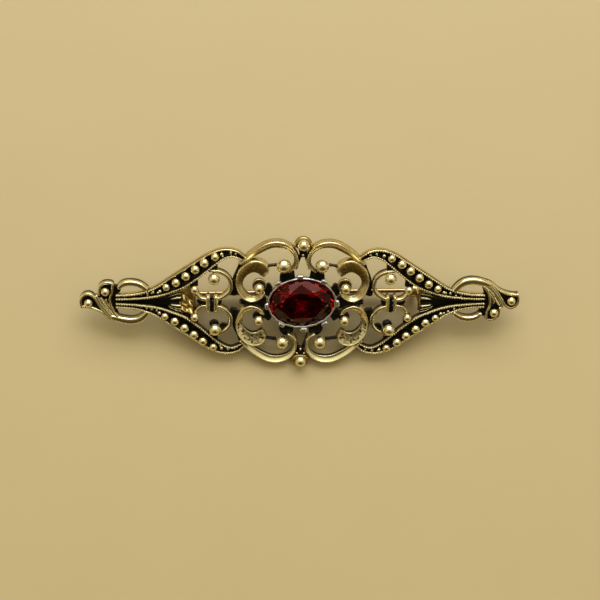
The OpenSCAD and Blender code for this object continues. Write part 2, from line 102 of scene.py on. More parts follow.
# The arms: rim x, rim y, ridge x, ridge y
ARM = [
    (8.20, 6.85, 8.70, 6.60), (9.40, 7.75, 10.10, 7.12), (11.20, 8.02, 11.50, 6.62),
    (13.20, 7.38, 13.05, 5.38), (15.20, 6.08, 14.60, 4.02), (17.20, 4.72, 16.20, 2.80),
    (19.20, 3.35, 17.30, 2.15), (21.00, 2.12, 20.20, 1.05), (22.80, 1.38, 22.60, 0.62),
    (24.60, 1.00, 24.60, 0.44), (26.70, 0.88, 26.70, 0.36),
]
# The big beads of an arm: x, y, radius
ARM_BEADS = [
    (12.60, 7.00, 0.56), (14.10, 6.10, 0.64), (15.40, 5.07, 0.64), (16.75, 4.02, 0.63), (18.15, 3.02, 0.61),
    (19.55, 2.28, 0.53),
]
# The grains at both ends of the channel: x, y, radius
ARM_GRAINS = [
    (9.55, 7.40, 0.22), (10.40, 7.52, 0.27), (11.45, 7.35, 0.38), (20.55, 1.72, 0.38), (21.40, 1.38, 0.32),
    (22.20, 1.10, 0.26), (23.05, 0.98, 0.20),
]
# Balls on stems: x, y, radius, height, and what each quarter changes: x, y, radius
BALLS = [
    (2.74, 5.97, 0.98, 0.90, {
        (-1, 1): (0, 0, 0.07), (1, 1): (0, 0, 0.02), (-1, -1): (0, 0, -0.03), (1, -1): (0, 0, -0.05),
    }),
    (6.21, 2.50, 0.74, 1.00, {}),
    (12.62, 3.94, 0.85, 1.05, {(-1, -1): (0.14, 0, 0), (1, -1): (0.13, 0, 0), (1, 1): (0, 0.1, 0)}),
    (15.39, 2.16, 0.60, 0.75, {}),
]

# Left end: x, y, width of its smooth lines
TIP_CURL = [
    (-31.45, -1.30, 0.36), (-31.68, -0.60, 0.42), (-31.67, 0.11, 0.44), (-31.40, 0.62, 0.44),
    (-31.02, 0.91, 0.44), (-30.44, 1.00, 0.44), (-29.88, 0.63, 0.42), (-29.33, -0.14, 0.40),
    (-28.58, -1.37, 0.38), (-27.65, -2.39, 0.36), (-26.90, -2.96, 0.32),
]
HOOK_CURL = [
    (-29.05, 0.75, 0.36), (-28.99, 1.63, 0.40), (-28.85, 2.25, 0.42), (-28.29, 2.70, 0.42),
    (-27.62, 2.80, 0.40), (-27.15, 2.66, 0.38), (-27.12, 2.09, 0.36), (-27.24, 1.26, 0.36),
    (-27.50, 0.42, 0.36), (-27.43, -0.51, 0.40), (-26.99, -1.76, 0.40), (-26.43, -2.48, 0.36),
]
# The two smooth ribs of the leaf, and its two beaded lines
LEAF_RIB = [(-29.49, 0.87), (-28.87, -0.46), (-28.04, -1.59), (-27.20, -2.52)]
THIRD_RIB = [(-28.10, 0.30), (-27.95, -0.45), (-27.40, -1.25), (-26.45, -2.35)]
BEADED_RIB = [(-28.89, 0.47), (-28.29, -0.45), (-27.75, -1.38), (-27.19, -1.89), (-26.72, -2.30)]
BORDER = [
    (-31.45, -0.97), (-30.31, -1.15), (-29.45, -1.45), (-28.51, -1.95), (-27.57, -2.77), (-26.72, -3.17),
]
# The two arcs of the ring: x, y, width
LOWER_ARC = [
    (-27.60, -2.45, 0.70), (-26.70, -2.78, 1.00), (-25.60, -3.08, 1.16), (-24.50, -3.18, 1.18),
    (-23.50, -2.96, 1.14), (-22.70, -2.40, 1.05), (-22.10, -1.70, 0.90),
]
UPPER_ARC = [
    (-26.35, 1.75, 0.60), (-25.90, 2.30, 0.85), (-25.30, 2.62, 0.95), (-24.50, 2.72, 0.95),
    (-23.60, 2.60, 0.95), (-22.85, 2.25, 0.90), (-22.20, 1.75, 0.75),
]
# The two balls of the left end: x, y, radius
END_BALLS = [(-30.57, -0.25, 0.62), (-28.12, 1.56, 0.62)]
# How far each quarter stands off from the mirrored places, as seen
C_SHIFT = {(-1, 1): (-0.10, 0.05), (1, 1): (0.0, 0.05), (1, -1): (0.10, 0.0)}
CRESCENT_SHIFT = {
    (-1, 1): (0.05, -0.10), (1, 1): (0.0, -0.05), (-1, -1): (0.05, 0.10), (1, -1): (0.15, 0.10),
}
WING_SHIFT = {(1, 1): (0.12, 0.0), (-1, -1): (0.0, 0.03), (1, -1): (0.05, 0.05)}
BEAD_SHIFT = {
    (1, 1): (0.08, -0.03), (-1, 1): (0.12, 0.07), (-1, -1): (-0.12, 0.10), (1, -1): (-0.03, -0.05),
}
# How far the arcs of both rings stand above the turned places
ARC_RISE = 0.1
# Silver tabs round the stone: x, y, width
TABS = [
    (-0.33, 4.06, 1.00), (3.16, 3.33, 1.00), (5.16, 0.00, 1.00), (3.39, -3.24, 1.00), (0.39, -4.16, 1.00),
    (-2.86, -3.40, 1.00), (-5.02, -0.52, 1.00), (-3.57, 3.00, 1.00),
]


def datum(x):
    """The height of the domed face at x."""
    return -DOME * (x / HALF_L) ** 2


def bend(x):
    """How far the arms and the bar stand above the mirrored places."""
    return 0.05 + math.copysign(0.10, x) * eased(15, 24, abs(x))


def eased(low, high, x):
    """0 below low, 1 above high, and smooth between."""
    t = min(1.0, max(0.0, (x - low) / (high - low)))
    return t * t * (3 - 2 * t)


def between(p, q, r, s, t):
    """A value at share t from q to r, on a smooth curve through four values."""
    slope, turn, twist = r - p, 2 * p - 5 * q + 4 * r - s, 3 * q - p - 3 * r + s
    return 0.5 * (2 * q + slope * t + turn * t * t + twist * t ** 3)


def smooth_rows(rows, step=0.15):
    """The rows of a table on a smooth curve, about step apart along their first two columns."""
    out = []
    last = len(rows) - 1
    for i in range(last):
        a, b, c, d = rows[max(i - 1, 0)], rows[i], rows[i + 1], rows[min(i + 2, last)]
        n = max(1, round(math.dist(b[:2], c[:2]) / step))
        for k in range(n):
            out.append(tuple(between(p, q, r, s, k / n) for p, q, r, s in zip(a, b, c, d)))
    out.append(tuple(rows[-1]))
    return out


def normals(path):
    """The left-hand normal at each point of a path."""
    out = []
    for i in range(len(path)):
        a, b = path[max(i - 1, 0)], path[min(i + 1, len(path) - 1)]
        d = Vector((b[0] - a[0], b[1] - a[1])).normalized()
        out.append(Vector((-d.y, d.x)))
    return out


def tapers(path, start, end):
    """A taper from 0 to 1 at each point of a path, round over the lengths start and end of its tips."""
    lengths = [0.0]
    for a, b in zip(path, path[1:]):
        lengths.append(lengths[-1] + math.dist(a[:2], b[:2]))
    total = lengths[-1]

    def tip(s, reach):
        return 1.0 if reach <= 0 or s >= reach else math.sqrt(max(0.02, 1 - (1 - s / reach) ** 2))

    return [tip(s, start) * tip(total - s, end) for s in lengths]


def centre(outline):
    """The mean place of the points of an outline."""
    return sum(p[0] for p in outline) / len(outline), sum(p[1] for p in outline) / len(outline)


class Shell:
    """Closed solids gathered in the face frame. A point's depth is 0 on worn crests and 1 in recesses, and
    it also carries painted shade.
    """

    def __init__(self):
        self.points, self.depths, self.faces = [], [], []

    def sweep(self, rings, closed=False):
        """A skin over rings of x, y, z, depth, capped at both ends unless it is closed."""
        first = len(self.points)
        k, n = len(rings[0]), len(rings)
        for ring in rings:
            for x, y, z, depth in ring:
                self.points.append((x, y, z))
                self.depths.append(depth)
        for i in range(n if closed else n - 1):
            for j in range(k):
                a, b = first + i * k + j, first + i * k + (j + 1) % k
                c, d = first + (i + 1) % n * k + (j + 1) % k, first + (i + 1) % n * k + j
                self.faces.append((a, b, c, d))
        if not closed:
            self.faces.append(tuple(first + j for j in range(k)))
            self.faces.append(tuple(first + (n - 1) * k + j for j in range(k)))

    def turned(self, x, y, profile, sides=28):
        """A round solid about an upright axis from a profile of radius, height, depth, bottom to top."""
        angles = [2 * math.pi * j / sides for j in range(sides)]
        self.sweep([
            [(x + r * math.cos(a), y + r * math.sin(a), z, depth) for a in angles] for r, z, depth in profile
        ])

    def plate(self, outline, top, bottom, depth, bevel):
        """A plate of the given outline with a soft upper edge."""
        cx, cy = centre(outline)

        def inset(by, z):
            ring = []
            for x, y in outline:
                v = Vector((x - cx, y - cy))
                v = v * max(0.0, 1 - by / max(v.length, 1e-6))
                ring.append((cx + v.x, cy + v.y, z + datum(cx + v.x), depth))
            return ring

        self.sweep([inset(0, bottom), inset(0, top - bevel), inset(bevel, top)])

    def join(self, points, depths, faces):
        """More points with their depths, and the faces between them."""
        first = len(self.points)
        self.points += points
        self.depths += depths
        self.faces += [tuple(first + i for i in face) for face in faces]
        return self

    def placed(self, quarters=QUARTERS, shift=None, bent=False):
        """What is gathered so far, mirrored into the given quarters, each moved by its own small shift."""
        points, depths, faces = self.points, self.depths, self.faces
        self.points, self.depths, self.faces = [], [], []
        for quarter in quarters:
            sx, sy = quarter
            dx, dy = (shift or {}).get(quarter, (0.0, 0.0))
            moved = []
            for x, y, z in points:
                lift = bend(sx * x) if bent else 0.0
                moved.append((sx * x + dx, sy * y + dy + lift, z))
            self.join(moved, depths, faces)
        return self

    def with_half_turn(self, rise=0.0):
        """What is gathered so far and the same turned half round, both lifted up the face by rise."""
        turned = [(-x, rise - y, z) for x, y, z in self.points]
        self.points = [(x, y + rise, z) for x, y, z in self.points]
        return self.join(turned, self.depths[:], self.faces)

    def add(self, other):
        """What another shell has gathered, joined to this one."""
        return self.join(other.points, other.depths, other.faces)

    def piece(self, name, material, rough, grain=1.6):
        """The finished object, laid on the table, with its surface a little uneven."""
        mesh = bpy.data.meshes.new(name)
        points = []
        for p in self.points:
            v = Vector(p)
            v += rough * noise.noise_vector(v * grain)
            points.append(FACE @ v)
        mesh.from_pydata(points, [], self.faces)
        # The depths stored on the points are the oxide of the hollows together with painted shade
        mesh.attributes.new("recess_and_shade", "FLOAT", "POINT").data.foreach_set("value", self.depths)
        face_outwards(mesh)
        mesh.shade_smooth()
        return finished(name, mesh, material)


def face_outwards(mesh):
    """Deletes the points that no face uses, and turns every face outwards."""
    bm = bmesh.new()
    bm.from_mesh(mesh)
    bmesh.ops.delete(bm, geom=[v for v in bm.verts if not v.link_faces], context="VERTS")
    bmesh.ops.recalc_face_normals(bm, faces=bm.faces)
    bm.to_mesh(mesh)
    bm.free()


def finished(name, mesh, material):
    """A mesh as an object of the scene, in one material."""
    obj = bpy.data.objects.new(name, mesh)
    bpy.context.scene.collection.objects.link(obj)
    mesh.materials.append(material)
    return obj


def lumps(x, y, pitch, layer):
    """Smooth noise over the face, between -1 and 1, with another pattern in each layer."""
    return noise.noise(Vector((x * pitch, y * pitch, layer)))


def across(origin, side, section):
    """A ring of a sweep: a section of distance, height and depth, laid from a point to its side."""
    ring = []
    for s, z, depth in section:
        q = origin + side * s
        ring.append((q.x, q.y, z + datum(origin.x), depth))
    return ring


# Materials

def node(tree, kind, links=(), **values):
    """A node with its properties set, and its inputs set or linked by name or number."""
    n = tree.nodes.new(kind)
    for key, value in values.items():
        setattr(n, key, value)
    for key, value in dict(links).items():
        if isinstance(value, bpy.types.NodeSocket):
            tree.links.new(value, n.inputs[key])
        else:
            n.inputs[key].default_value = value
    return n


def clouds(tree, place, scale, detail):
    """The value of a cloudy pattern."""
    links = {"Vector": place, "Scale": scale, "Detail": detail}
    return node(tree, "ShaderNodeTexNoise", links).outputs["Fac"]


def worked_out(tree, operation, *values):
    """The result of an arithmetic operation on values or sockets."""
    return node(tree, "ShaderNodeMath", dict(enumerate(values)), operation=operation).outputs[0]


def mixed(tree, share, first, second):
    """A colour between two others."""
    return node(tree, "ShaderNodeMix", {0: share, 6: first, 7: second}, data_type="RGBA").outputs[2]


def new_material(name):
    """An empty material, its tree, and the place on the piece."""
    mat = bpy.data.materials.new(name)
    mat.use_nodes = True
    mat.node_tree.nodes.clear()
    return mat, mat.node_tree, node(mat.node_tree, "ShaderNodeTexCoord").outputs["Object"]


def group(name, kind, inputs, outputs):
    """An empty node group with named sockets, with what comes into it and what goes out."""
    tree = bpy.data.node_groups.new(name, kind)
    for label, what, value in inputs:
        socket = tree.interface.new_socket(label, in_out="INPUT", socket_type="NodeSocket" + what)
        if value is not None:
            socket.default_value = value
    for label, what in outputs:
        tree.interface.new_socket(label, in_out="OUTPUT", socket_type="NodeSocket" + what)
    return tree, tree.nodes.new("NodeGroupInput").outputs, tree.nodes.new("NodeGroupOutput").inputs


def patina_group():
    """Worn metal over a dark oxide that stays in the recesses, with a fine grain. The depth it reads also
    carries painted shade.
    """
    tree, i, o = group(
        "patina", "ShaderNodeTree",
        [("Place", "Vector", None), ("Depth", "Float", 0.0), ("Worn", "Color", (0.8, 0.66, 0.36, 1)),
         ("Shade", "Color", (0.5, 0.36, 0.14, 1)), ("Oxide", "Color", (0.008, 0.006, 0.004, 1)),
         ("Patch size", "Float", 900.0), ("Spread", "Float", 0.34), ("Polish", "Float", 0.2)],
        [("Color", "Color"), ("Roughness", "Float"), ("Metallic", "Float"), ("Height", "Float")],
    )
    patches = clouds(tree, i["Place"], i["Patch size"], 4.0)
    fine = clouds(tree, i["Place"], worked_out(tree, "MULTIPLY", i["Patch size"], 5.0), 3.0)
    centred = worked_out(tree, "SUBTRACT", patches, 0.5)
    spread = worked_out(tree, "MULTIPLY_ADD", centred, i["Spread"], i["Depth"])
    # The metal is worn bright up to the first depth, dull at the second and under oxide from the third on
    bright, dull, black = 0.05, 0.45, 0.75
    oxide = node(tree, "ShaderNodeMapRange", {"Value": spread, "From Min": dull, "From Max": black},
                 interpolation_type="SMOOTHSTEP").outputs[0]
    tone = node(tree, "ShaderNodeMapRange", {"Value": spread, "From Min": bright, "From Max": dull})
    metal_color = mixed(tree, tone.outputs[0], i["Worn"], i["Shade"])
    rough = worked_out(tree, "MULTIPLY_ADD", fine, 0.14, i["Polish"])
    rough_all = node(tree, "ShaderNodeMix", {0: oxide, 2: rough, 3: 0.34}, data_type="FLOAT")
    metallic = node(tree, "ShaderNodeMapRange", {"Value": oxide, "To Min": 1.0, "To Max": 0.2})
    for socket, source in (("Color", mixed(tree, oxide, metal_color, i["Oxide"])), ("Height", fine),
                           ("Roughness", rough_all.outputs[0]), ("Metallic", metallic.outputs[0])):
        tree.links.new(source, o[socket])
    return tree


def metal(name, patina, depth=None, bump=0.05, **values):
    """A metal with the patina group, its depth read from the piece or the same all over."""
    mat, tree, place = new_material(name)
    worn = node(tree, "ShaderNodeGroup", {"Place": place}, node_tree=patina)
    if depth is None:
        recess_and_shade = node(tree, "ShaderNodeAttribute", attribute_name="recess_and_shade")
        tree.links.new(recess_and_shade.outputs["Fac"], worn.inputs["Depth"])
    else:
        worn.inputs["Depth"].default_value = depth
    for key, value in values.items():
        worn.inputs[key.replace("_", " ").capitalize()].default_value = value
    relief = node(tree, "ShaderNodeBump", {
        "Height": worn.outputs["Height"], "Strength": bump, "Distance": 0.00005,
    })
    shader = node(tree, "ShaderNodeBsdfPrincipled", {
        "Base Color": worn.outputs["Color"], "Roughness": worn.outputs["Roughness"],
        "Metallic": worn.outputs["Metallic"], "Normal": relief.outputs["Normal"],
        "Specular IOR Level": 0.3,
    })
    node(tree, "ShaderNodeOutputMaterial", {"Surface": shader.outputs[0]})
    return mat


def stone_material():
    """Deep red glass with soft clouds."""
    mat, tree, place = new_material("red_stone")
    color = mixed(tree, clouds(tree, place, 260.0, 2.0), (0.23, 0.001, 0.002, 1), (0.36, 0.002, 0.004, 1))
    shader = node(tree, "ShaderNodeBsdfPrincipled", {
        "Base Color": color, "Roughness": 0.02, "IOR": 1.5, "Transmission Weight": 1.0,
        "Specular Tint": (0.8, 0.25, 0.2, 1),
    })
    node(tree, "ShaderNodeOutputMaterial", {"Surface": shader.outputs[0]})
    return mat


def floor_material():
    """Plain pale board with a faint grain."""
    mat, tree, place = new_material("table_top")
    mottle = clouds(tree, place, 60.0, 5.0)
    color = mixed(tree, mottle, (0.600, 0.463, 0.226, 1), (0.625, 0.485, 0.240, 1))
    relief = node(tree, "ShaderNodeBump", {
        "Height": clouds(tree, place, 900.0, 3.0), "Strength": 0.08, "Distance": 0.0002,
    })
    shader = node(tree, "ShaderNodeBsdfPrincipled", {
        "Base Color": color, "Roughness": 0.6, "Normal": relief.outputs["Normal"],
    })
    node(tree, "ShaderNodeOutputMaterial", {"Surface": shader.outputs[0]})
    return mat


patina = patina_group()
antique_gold = metal(
    "antique_gold", patina, worn=(0.97, 0.85, 0.49, 1), shade=(0.48, 0.34, 0.12, 1), polish=0.20,
)
fitting_gold = metal(
    "fitting_gold", patina, depth=0.22, worn=(0.86, 0.66, 0.26, 1), shade=(0.44, 0.28, 0.08, 1),
    polish=0.22,
)
# The stem's colours are darker than the fittings' gold: painted shade for the stem lying in shadow under the
# casting
stem_painted_shade = metal(
    "stem_painted_shade", patina, depth=0.12, worn=(0.66, 0.46, 0.20, 1), shade=(0.36, 0.22, 0.09, 1),
    polish=0.12,
)
silver = metal(
    "silver", patina, worn=(0.96, 0.96, 0.95, 1), shade=(0.50, 0.49, 0.46, 1), polish=0.21,
)
red_stone = stone_material()
foil = metal(
    "stone_foil", patina, depth=0.0, bump=0.0, worn=(0.30, 0.045, 0.035, 1), shade=(0.16, 0.02, 0.02, 1),
    polish=0.30,
)


# The casting: scrolls, lines and balls

def scroll(shell, rows, w_out, crest_z, start, fall, tone, pits, end=0.0, blots=0.0, step=0.12):
    """A strip with a sharp crest near its outer edge and a flat face that falls to its inner edge. Tone is
    the patina of that face together with painted shade where it turns away from the light, pits the depth
    of its pitting, and blots the oxide in the pits."""
    path = smooth_rows(rows, step)
    widest = max(math.dist(row[:2], row[2:4]) for row in path)
    face_points = max(4, round(widest / FACE_STEP))
    rings = []
    for row, f in zip(path, tapers(path, start, end)):
        crest, inner = Vector(row[:2]), Vector(row[2:4])
        w = (inner - crest).length
        d = (inner - crest).normalized()
        mid = crest + d * (w - w_out) / 2
        zc = 0.25 + (crest_z - 0.25) * (0.55 + 0.45 * f)
        low = max(0.1, zc - fall * min(1.0, w / 0.8))
        section = [
            (-w_out + 0.05, BACK, 0.9), (-w_out, BACK + 0.12, 0.6), (-w_out, -0.15, 0.36),
            (-w_out + 0.02, 0.12, 0.3), (-w_out + 0.09, 0.34, 0.26), (-0.10, zc - 0.09, 0.12),
            (-0.03, zc, 0.0), (0.05, zc - 0.005, 0.0), (0.13, zc - 0.07, tone * 0.6),
        ]
        for k in range(1, face_points):
            t = k / face_points
            sag = -0.06 * math.sin(math.pi * t)
            section.append((0.13 + t * (w - 0.20), zc - 0.07 + t * (low - zc + 0.07) + sag, tone))
        section += [
            (w - 0.05, low + 0.02, tone * 0.5), (w, low - 0.04, 0.3), (w + 0.01, low - 0.16, 0.75),
            (w, -0.3, 0.95), (w - 0.05, BACK, 1.0),
        ]
        ring = []
        for s, z, depth in section:
            p = crest + d * s
            p = mid + (p - mid) * f
            if 0.16 < s < w - 0.08 and z > 0.0:
                here = eased(0.75, 1.3, w)
                coarse, small = lumps(p.x, p.y, 1.3, 3.0), lumps(p.x, p.y, 3.0, 9.0)
                z += pits * here * (0.6 * coarse + 0.8 * small)
                depth += here * blots * (max(0.0, -small - 0.12) + 0.4 * max(0.0, -coarse - 0.12))
            ring.append((p.x, p.y, z + datum(p.x), min(1.0, depth)))
        rings.append(ring)
    shell.sweep(rings)


# One side of a rounded line: shares of its reach, of its rise and of its wall's patina
LINE_SIDE = ((0.98, 0.0, 0.7), (0.90, 0.45, 0.4), (0.72, 0.80, 0.1), (0.40, 0.97, 0.0))


def wire(shell, rows, crest_z, share=0.5, start=0.0, end=0.0, edge_z=0.28, back=BACK, step=0.15,
         walls=(0.4, 0.4)):
    """A rounded line of the width in its rows, its crest at share of the width from its left side. Walls is
    the patina of its left and its right wall."""
    path = smooth_rows(rows, step)
    rings = []
    for row, side, f in zip(path, normals(path), tapers(path, start, end)):
        p, w = Vector(row[:2]), row[2] * f
        zc = edge_z + (crest_z - edge_z) * (0.5 + 0.5 * f)
        left, right = share * w, -(1 - share) * w
        section = [(left * 0.94, back, 1.0)]
        for reach, dark in ((left, walls[0]), (right, walls[1])):
            half = [(reach, back + 0.12, 1.0), (reach, min(0.0, edge_z - 0.1), max(dark, 0.72))]
            for part, rise, tone in LINE_SIDE:
                half.append((reach * part, edge_z + (zc - edge_z) * rise, dark * tone))
            section += half if reach == left else half[::-1]
        section.append((right * 0.94, back, 1.0))
        rings.append(across(p, side, section))
    shell.sweep(rings)


def ball(shell, x, y, r, z=BALL_Z, foot=-0.3, sides=28):
    """A ball on a narrow dark post."""
    profile = [(r * 0.55, foot, 1.0), (r * 0.55, min(z - 0.95 * r, foot + 0.05), 1.0)]
    for k in range(-50, 90, 10):
        t = math.radians(k)
        depth = 0.0 if k > 5 else min(1.0, (5 - k) / 45)
        profile.append((r * math.cos(t), max(z + r * math.sin(t), foot + 0.06), depth))
    profile.append((r * 0.03, z + r, 0.0))
    shell.turned(x, y, [(a, b + datum(x), c) for a, b, c in profile], sides)


def disc(shell, x, y, r):
    """A low dished disc under a ball, bright at its lip and dark inside."""
    top, tone = 0.12, 0.36
    profile = [(r * 0.9, -0.45, 1.0), (r, -0.35, 0.8), (r, top - 0.1, tone), (r * 0.95, top, tone * 0.5),
               (r * 0.86, top, tone), (r * 0.6, top - 0.04, min(1.0, tone + 0.1))]
    shell.turned(x, y, [(a, b + datum(x), c) for a, b, c in profile], 36)


scrolls = Shell()
# The faces of the upper scrolls turn away from the light and get the darker tone: painted shade
for side_of_face, tone in ((UPPER, 0.26), (LOWER, 0.03)):
    part = Shell()
    scroll(part, BIG_C, C_WALL, C_CREST, start=0.45, fall=0.40, tone=tone, pits=0.03)
    scrolls.add(part.placed(side_of_face, C_SHIFT))
crescents = Shell()
# The faces of the upper crescents turn away from the light and get the darker tone: painted shade
for side_of_face, tone, pits, blots in ((UPPER, 0.36, 0.02, 0.5), (LOWER, 0.0, 0.045, 2.4)):
    part = Shell()
    # The tips of the lower crescents are shorter and rounder
    tip = 0.25 if tone < 0.2 else 0.0
    rows = [(x + tip * share, y, u, v) for (x, y, u, v), share in zip(CRESCENT, (0.7, 1.0, 0.4))]
    rows += CRESCENT[3:]
    scroll(part, rows, CRESCENT_WALL, CRESCENT_CREST, start=0.8, end=0.5, fall=0.52, tone=tone, pits=pits,
           blots=blots, step=0.1)
    crescents.add(part.placed(side_of_face, CRESCENT_SHIFT))
wing_lines = Shell()
wire(wing_lines, [(x, y, WING_FIT * w) for x, y, w in WING_C], WING_CREST, share=0.75, start=0.9, end=0.35,
     walls=(0.35, 0.6))
wing_lines.placed(shift=WING_SHIFT)

# The disc under the ball of each upper crescent: x, y, radius
DISC_X, DISC_Y, DISC_R = 6.15, 2.62, 1.02
balls = Shell()
for index, quarter in enumerate(QUARTERS):
    sx, sy = quarter
    for x, y, r, z, changes in BALLS:
        dx, dy, dr = changes.get(quarter, (0, 0, 0))
        ball(balls, sx * x + dx, sy * y + dy, r + dr, z)
    if sy > 0:
        disc(balls, sx * DISC_X, DISC_Y, DISC_R)
    dx, dy = BEAD_SHIFT[quarter]
    for x, y, r in ARM_BEADS:
        ball(balls, sx * x + dx, sy * y + dy, BEAD_FIT * r, z=BEAD_Z)
    for x, y, r in ARM_GRAINS:
        # Each grain is a small uneven cluster of two
        for part, size in ((0, 0.72), (1, 0.5)):
            shift = noise.noise_vector(Vector((x * 3.1, y * 2.3 + part * 5.0, index * 7.7)))
            gx, gy = x + r * (shift.x + part * 0.5), y + r * (shift.y - part * 0.6)
            ball(balls, sx * gx + dx, sy * gy + dy, r * size, z=0.1 + 0.5 * r, sides=14)

# The balls at the top and the bottom of the middle, each on a dark round plate and a short neck
EDGE_BALL_Y, EDGE_BALL_R = 9.01, 0.83
# Grains on both necks, and two more beside the lower one: x, y, radius
NECK_GRAIN_Y, NECK_GRAIN_R = 7.35, 0.20
SIDE_GRAIN_X, SIDE_GRAIN_Y, SIDE_GRAIN_R = 0.52, -8.02, 0.17
HOOD = [
    (0, 10.08), (0.45, 10.0), (0.85, 9.75), (1.15, 9.4), (1.27, 9.0), (1.15, 8.6), (0.85, 8.35), (0.4, 8.3),
]
NECK = [(0.72, 8.5), (0.6, 7.9), (0.5, 7.35), (0.55, 7.05), (0.3, 6.98), (0, 6.95)]
edges = Shell()
for s in (1, -1):
    ball(edges, 0.0, EDGE_BALL_Y * s, EDGE_BALL_R)
    hood = HOOD + [(0, 8.28)] + [(-x, y) for x, y in reversed(HOOD[1:])]
    edges.plate([(x, s * y) for x, y in hood], 0.2, bottom=-0.4, depth=0.46, bevel=0.16)
    neck = NECK + [(-x, y) for x, y in reversed(NECK[:-1])]
    edges.plate([(x, s * y) for x, y in neck], 0.1, bottom=-0.4, depth=0.95, bevel=0.12)
    ball(edges, 0.0, NECK_GRAIN_Y * s, NECK_GRAIN_R, z=GRAIN_Z, sides=14)
for side in (1, -1):
    ball(edges, SIDE_GRAIN_X * side, SIDE_GRAIN_Y, SIDE_GRAIN_R, z=GRAIN_Z, sides=14)


# The casting: arms, bar, bands and ends

# Sections of an arm's rim and of its ridge: distance from the crest, height, depth
RIM = (
    (-0.20, BACK, 0.6), (-0.24, -0.4, 0.3), (-0.24, 0.0, 0.3), (-0.20, 0.15, 0.6), (-0.18, 0.30, 0.75),
    (-0.12, 0.36, 0.1), (-0.05, 0.40, 0.0), (0.06, 0.40, 0.1), (0.13, 0.30, 0.5), (0.18, 0.15, 0.9),
    (0.24, 0.0, 1.0),
)
RIDGE = (
    (-0.24, 0.0, 1.0), (-0.18, 0.2, 0.9), (-0.13, 0.38, 0.6), (-0.05, 0.48, 0.15), (0.06, 0.48, 0.15),
    (0.13, 0.38, 0.5), (0.19, 0.2, 0.7), (0.2, 0.0, 0.8), (0.19, BACK + 0.12, 0.95), (0.16, BACK, 1.0),
)
# Height of the channel between them, and the distance below which both grow narrower
CHANNEL_Z, FULL_WIDTH = -0.08, 0.62


def arm(shell):
    """A rim and a ridge with the sunken dark channel between them."""
    rings = []
    for rx, ry, gx, gy in smooth_rows(ARM, 0.2):
        rim, ridge = Vector((rx, ry)), Vector((gx, gy))
        d = (ridge - rim).normalized()
        length = (ridge - rim).length
        k = min(1.0, length / FULL_WIDTH)
        section = [(s * k, z, depth) for s, z, depth in RIM]
        section += [(0.3 * length, CHANNEL_Z, 1.0), (0.7 * length, CHANNEL_Z, 1.0)]
        section += [(length + s * k, z, depth) for s, z, depth in RIDGE]
        rings.append(across(rim, d, section))
    shell.sweep(rings)


arms = Shell()
arm(arms)
arms.placed(bent=True)

# The floor of the bar, from the row of the arm at which the arms meet, with the reeds of its fan
bar = Shell()
floor_rings = []
for _, _, gx, gy in smooth_rows(ARM[6:], 0.3):
    z = datum(gx)
    floor_rings.append([
        (gx, -gy, z - 0.42, 1.0), (gx, -gy, z - 0.04, 1.0), (gx, 0, z - 0.06, 1.0), (gx, gy, z - 0.04, 1.0),
        (gx, gy, z - 0.42, 1.0), (gx, 0, z - 0.42, 1.0),
    ])
bar.sweep(floor_rings)
# The reeds' first x, and y at both ends, last x, width and crest of the two bright ones and the dark ones
REED_X = 17.3
REEDS = (
    (0.65, 0.40, 18.9, 0.33, 0.42), (-0.65, -0.40, 18.9, 0.33, 0.42),
    (1.22, 0.72, 19.2, 0.16, 0.16), (-1.22, -0.72, 19.2, 0.16, 0.16),
    (1.62, 0.98, 19.0, 0.14, 0.12), (-1.62, -0.98, 19.0, 0.14, 0.12),
)
for y0, y1, x1, w, top in REEDS:
    wall = 0.5 if w > 0.3 else 0.9
    middle_x, middle_y = 0.5 * (REED_X + x1) + 0.2, 0.5 * (y0 + y1)
    rows = [(REED_X, y0, w), (17.8, y0 * 0.93, 1.1 * w), (middle_x, middle_y, 0.8 * w), (x1, y1, 0.4 * w)]
    wire(bar, rows, top, start=0.18, end=0.5, edge_z=0.0, back=-0.3, step=0.1, walls=(wall, wall))
bar.placed(((1, 1), (-1, 1)), bent=True)

# The section of the round-backed bands: share of the half width, share of the height, depth
BAND_SECTION = (
    (-0.8, -1.0, 1.0), (-1.0, -0.6, 1.0), (-1.02, 0.1, 0.5), (-0.97, 0.42, 0.2), (-0.82, 0.68, 0.0),
    (-0.58, 0.87, 0.0), (-0.3, 0.97, 0.0), (0.0, 1.0, 0.0), (0.3, 0.97, 0.0), (0.58, 0.87, 0.0),
    (0.82, 0.68, 0.0), (0.97, 0.42, 0.2), (1.02, 0.1, 0.5), (1.0, -0.6, 1.0), (0.8, -1.0, 1.0),
)
# x and width of each band, two on each side over the wing lines, and the y of their ends
BANDS = ((12.42, 0.62), (13.45, 0.62), (-12.37, 0.76), (-13.48, 0.76))
BAND_TOP, BAND_BOTTOM, BAND_STEPS = 1.25, -1.48, 32
bands = Shell()
for x, width in BANDS:
    rings = []
    for i in range(BAND_STEPS + 1):
        t = -1 + 2 * i / BAND_STEPS
        y = 0.5 * (BAND_TOP + BAND_BOTTOM) + 0.5 * (BAND_TOP - BAND_BOTTOM) * t
        full = math.sqrt(max(0.16, 1 - abs(t) ** 9))
        top = 0.55 + 0.47 * full * (1 - 0.25 * eased(-0.4, -1.0, t))
        half_w = 0.5 * width * full * (1 - 0.2 * eased(-0.5, -1.0, t))
        ring = []
        for s, rise, depth in BAND_SECTION:
            z = 0.1 + (top - 0.1) * rise if rise > 0 else 0.1 + 0.65 * rise
            ring.append((x + half_w * s, y, z + datum(x), depth))
        rings.append(ring)
    bands.sweep(rings)

